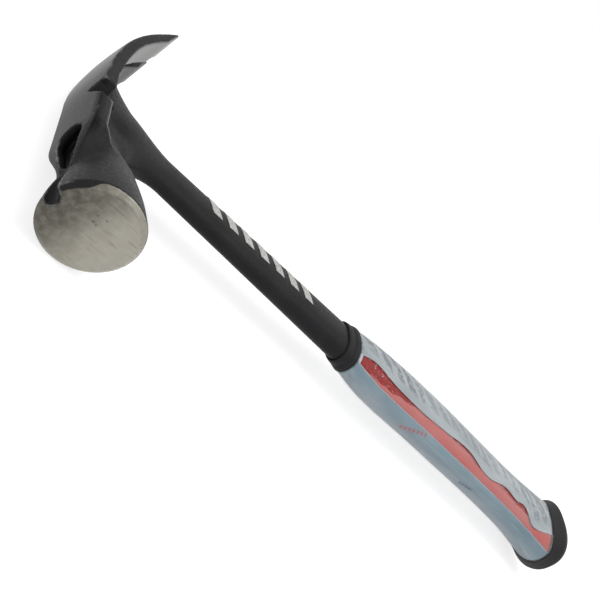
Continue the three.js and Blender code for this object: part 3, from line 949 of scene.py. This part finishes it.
def clear_film():
    g = Graph("clear_film")
    cloud = g.noise(scale=150, detail=4, place=g.place(SOFT_STRETCH))
    tight = clinging(g)
    # Painted glints: specks of the film's pale tint in its tight part
    painted_glints = g.times(tight, g.step(g.noise(scale=1100, detail=2), low=0.64, high=0.70))
    over_window = g.step(cloud, 0.25, 0.75, *COVER_WINDOW)
    over_window = g.blend(tight, over_window, g.times(painted_glints, COVER_GLINTS))
    haze = g.blend(g.attribute("window"), g.step(cloud, 0.4, 0.8, *COVER_LABEL), over_window)
    slanted = g.node("LayerWeight", {"Blend": SLANT_BLEND}).outputs["Facing"]
    return g.surface(
        Base_Color=FILM_TINT, Roughness=0.4, Specular_IOR_Level=0.3,
        Alpha=g.math("ADD", haze, g.times(slanted, COVER_SLANTED), clamp=True),
        Normal=g.bump(cloud, distance=0.25 * MM, strength=0.5),
    )


# Handle pieces

GRIP = stations("grip_sleeve")
GRIP_LOW, GRIP_HIGH = GRIP[0, 0], GRIP[-1, 0]


def down_grip(x):
    """Share of the grip's length, from its top."""
    return (GRIP_HIGH - x) / (GRIP_HIGH - GRIP_LOW)


def grip_station(x):
    return (x, *(float(smooth_curve(GRIP[:, 0], GRIP[:, k], np.array([x]))[0]) for k in (1, 2, 3)))


def window_angles(station):
    """Angles of the label window's front and back edges at a section."""
    x, middle, depth, thick = station
    shares, outs = np.array(WINDOW_EDGE).T
    out = float(smooth_curve(shares, outs, np.array([down_grip(x)]))[0]) * MM
    rise = min(1, WINDOW_RISE / (thick + LABEL_GROW))
    reach = min(1, max(0, (AXIS_Y + out - middle) / (depth + LABEL_GROW)))
    front = math.asin(rise ** (SQUARENESS / 2))
    return front, max(front, math.acos(reach ** (SQUARENESS / 2)))


def rim_offset(angles):
    """How far the cap's rim lies towards the butt, round the handle."""
    return RIM_SIDE * np.sin(angles) ** 2 + RIM_BACK * ((1 - np.cos(angles)) / 2) ** 2


def grip_row(x, angles, grow):
    """Section of the grip's layers, drawn along the handle to follow the cap's rim."""
    row = section(grip_station(x), angles, grow)
    row[:, 0] -= rim_offset(angles) * (1 - ramp(x, GRIP_LOW, GRIP_LOW + RIM_REACH))
    return row


def cling_values(x, angles):
    """Distance inside the clinging part of the film, mm, and 1 inside the window."""
    station = grip_station(x)
    front, back = window_angles(station)
    limit = np.interp(down_grip(x), *np.array(CLING_WIDTH).T)
    inset = (back - angles) * station[2] / MM
    window = (angles > front) & (inset > -CLING_OVERLAP)
    return np.where(window, limit - inset, CLING_NONE), window.astype(float)


def round_angles(columns):
    return np.linspace(0, 2 * math.pi, columns, endpoint=False)


def thicken(obj, thickness):
    solid = obj.modifiers.new("thickness", "SOLIDIFY")
    solid.thickness = thickness
    solid.offset = -1


def grip_piece():
    """Sleeve with the core's bore."""
    angles = round_angles(ROUND_COLUMNS)
    places = np.linspace(GRIP_LOW, GRIP_HIGH - GRIP_INSET, TUBE_ROWS)
    rows = [grip_row(x, angles, 0) for x in places]
    cling = np.concatenate([cling_values(x, angles)[0] for x in places])
    core = stations("grip_core")[0]
    rows += [section((x, *core[1:]), angles, FIT_GAP) for x in (places[-1], places[0])]
    mesh = skin("grip", rows, ring=True)
    add_value(mesh, "cling", np.append(cling, np.full(2 * ROUND_COLUMNS, CLING_NONE)))
    add_object("grip", mesh, red_rubber(), "red_rubber", "grip_sleeve")


def label_piece():
    """Paper round the grip, from the window's back edge to its front edge, closed above the window."""
    window_top = GRIP_HIGH - WINDOW_MARGIN
    places = np.append(np.linspace(GRIP_LOW, window_top, TUBE_ROWS), GRIP_HIGH)
    rows, along, around = [], [], []
    for x in places:
        front, back = window_angles(grip_station(x))
        paper = np.linspace(back, 2 * math.pi + front, LABEL_COLUMNS)
        gap = np.linspace(front, back, WINDOW_COLUMNS)[1:-1] + 2 * math.pi
        angles = np.concatenate([paper, gap])
        rows.append(grip_row(x, angles, LABEL_GROW))
        along.append(np.full(len(angles), down_grip(x)))
        around.append(np.concatenate([np.linspace(0, 1, LABEL_COLUMNS), np.zeros(len(gap))]))
    mesh = skin("label", rows, lambda r, c: c < LABEL_COLUMNS - 1 or r == TUBE_ROWS - 1)
    add_value(mesh, "along", np.concatenate(along))
    add_value(mesh, "around", np.concatenate(around))
    thicken(add_object("label", mesh, label_paper(), "label", "label_wrap"), SHEET)


def wrinkle(point):
    scale = (WRINKLE_LENGTH, WRINKLE_WIDTH, WRINKLE_WIDTH)
    return noise.noise(Vector([place / size for place, size in zip(point, scale)]))


def film_piece():
    """Shrink film with wrinkles that stay inside its outer size."""
    angles = round_angles(FILM_COLUMNS)
    rows, cling, window = [], [], []
    for x in np.linspace(GRIP_LOW, GRIP_HIGH, TUBE_ROWS):
        ring = grip_row(x, angles, FILM_GROW)
        outward = ring - np.array([x, grip_station(x)[1], FACE.z])
        outward[:, 0] = 0
        outward /= np.linalg.norm(outward, axis=1)[:, None]
        rise = np.array([wrinkle(point) for point in ring]) - 1
        rows.append(ring + outward * (WRINKLE_RISE * rise)[:, None])
        row_cling, row_window = cling_values(x, angles)
        cling.append(row_cling)
        window.append(row_window)
    mesh = skin("film", rows)
    add_value(mesh, "cling", np.concatenate(cling))
    add_value(mesh, "window", np.concatenate(window))
    thicken(add_object("film", mesh, clear_film(), "film", "clear_film"), FILM_SHEET)


def collar_piece(material):
    """Two rounded bands round the top of the grip, with the shank's bore."""
    found = stations("grip_collar")
    low, high = found[0], found[-1]
    length = high[0] - low[0]
    angles = round_angles(ROUND_COLUMNS)
    rows = []
    for share in np.linspace(0, 1, COLLAR_ROWS):
        from_middle, from_end = (share - 0.5) * length, min(share, 1 - share) * length
        sink = COLLAR_SINK * math.exp(-(from_middle / COLLAR_GROOVE) ** 2)
        if from_end < COLLAR_LIP:
            sink += COLLAR_LIP - math.sqrt(COLLAR_LIP ** 2 - (COLLAR_LIP - from_end) ** 2)
        rows.append(section(low + share * (high - low), angles, -sink))
    for end in (high, low):
        bore = (end[0], end[1], SHANK_DEPTH / 2, SHANK_THICK / 2)
        rows.append(section(bore, angles, FIT_GAP))
    add_object("collar", skin("collar", rows, ring=True), material, "black_rubber", "grip_collar")


def cap_piece(material):
    """Butt cap whose rim runs higher on the sides than at the back, with the spigot inside the grip."""
    found = stations("butt_cap")
    outer, spigot = found[:-1], found[-1]
    index = np.arange(len(outer), dtype=float)
    fine = np.linspace(0, len(outer) - 1, CAP_ROWS)
    table = np.stack([smooth_curve(index, column, fine) for column in outer.T], axis=1)
    angles = round_angles(ROUND_COLUMNS)
    foot, top = outer[0, 0] + RIM_FOOT, outer[-1, 0]
    rows = [section(station, angles) for station in table]
    rows.append(section((top, *spigot[1:]), angles))
    for row in rows:
        row[:, 0] -= rim_offset(angles) * np.clip((row[:, 0] - foot) / (top - foot), 0, 1)
    rows.append(section(spigot, angles))
    add_object("cap", skin("cap", rows, caps=True), material, "black_rubber", "butt_cap")


# Stage

def rays_that_see_background(nodes, links):
    path = nodes.new("ShaderNodeLightPath")
    seen = path.outputs["Is Camera Ray"]
    for name in ("Is Glossy Ray", "Is Transmission Ray"):
        either = nodes.new("ShaderNodeMath")
        either.operation = "MAXIMUM"
        links.new(seen, either.inputs[0])
        links.new(path.outputs[name], either.inputs[1])
        seen = either.outputs[0]
    return seen


def floor():
    g = Graph("floor_white")
    nodes, links = g.tree.nodes, g.tree.links
    seen = rays_that_see_background(nodes, links)
    plain = g.node("BsdfDiffuse", {"Color": FLOOR_PLAIN}).outputs[0]
    shaded = g.node("BsdfDiffuse", {"Color": FLOOR_SHADED}).outputs[0]
    glow = g.node("Emission", {"Color": (1, 1, 1), "Strength": FLOOR_GLOW}).outputs[0]
    white = g.node("AddShader", {0: shaded, 1: glow}).outputs[0]
    links.new(g.node("MixShader", {0: seen, 1: plain, 2: white}).outputs[0], g.output.inputs[0])
    mesh = bpy.data.meshes.new("floor")
    corners = [(FLOOR_HALF * a, FLOOR_HALF * b, 0) for a, b in ((-1, -1), (1, -1), (1, 1), (-1, 1))]
    mesh.from_pydata(corners, [], [(0, 1, 2, 3)])
    mesh.materials.append(g.material)
    obj = bpy.data.objects.new("floor", mesh)
    obj.location.z = cad_box[0][2] - FLOOR_DROP
    bpy.context.scene.collection.objects.link(obj)


def world():
    scene_world = bpy.data.worlds.new("studio")
    bpy.context.scene.world = scene_world
    scene_world.use_nodes = True
    nodes, links = scene_world.node_tree.nodes, scene_world.node_tree.links
    seen = rays_that_see_background(nodes, links)
    level = nodes.new("ShaderNodeMapRange")
    level.inputs["To Min"].default_value = WORLD_LIGHT
    level.inputs["To Max"].default_value = WORLD_SEEN
    links.new(seen, level.inputs["Value"])
    background = nodes["Background"]
    background.inputs["Color"].default_value = (1, 1, 1, 1)
    links.new(level.outputs[0], background.inputs["Strength"])


def soft_lamp(name, place, aim, size, power):
    lamp = bpy.data.lights.new(name, "AREA")
    lamp.size = size
    lamp.energy = power
    obj = bpy.data.objects.new(name, lamp)
    obj.location = place
    obj.rotation_euler = (Vector(aim) - Vector(place)).to_track_quat("-Z", "Y").to_euler()
    bpy.context.scene.collection.objects.link(obj)


def camera():
    data = bpy.data.cameras.new("camera")
    data.lens = CAMERA_LENS
    data.sensor_width = CAMERA_SENSOR
    data.sensor_fit = "HORIZONTAL"
    data.clip_start = CAMERA_NEAR
    obj = bpy.data.objects.new("camera", data)
    back = CAMERA_RIGHT.cross(CAMERA_UP).normalized()
    turn = Matrix((CAMERA_RIGHT.normalized(), back.cross(CAMERA_RIGHT).normalized(), back)).transposed()
    obj.matrix_world = Matrix.Translation(CAMERA_PLACE) @ turn.to_4x4()
    bpy.context.scene.collection.objects.link(obj)
    bpy.context.scene.camera = obj


bpy.context.scene.view_settings.view_transform = "Standard"
rubber = black_rubber()
add_object("forging", forging_mesh(), coated_steel(), "black_steel", "forged_body")
collar_piece(rubber)
grip_piece()
label_piece()
film_piece()
cap_piece(rubber)
for node, material in (("nail_magnet", magnet_steel()), ("grip_core", core_plastic())):
    frame["nodes"][node].data.materials.clear()
    frame["nodes"][node].data.materials.append(material)
floor()
world()
soft_lamp("overhead", place=(-0.1, 0.05, 0.95), aim=(0.0, 0, 0.02), size=0.8, power=4)
soft_lamp("front", place=(0.5, 0.7, 0.5), aim=(0.05, 0, 0.02), size=0.8, power=1.5)
camera()
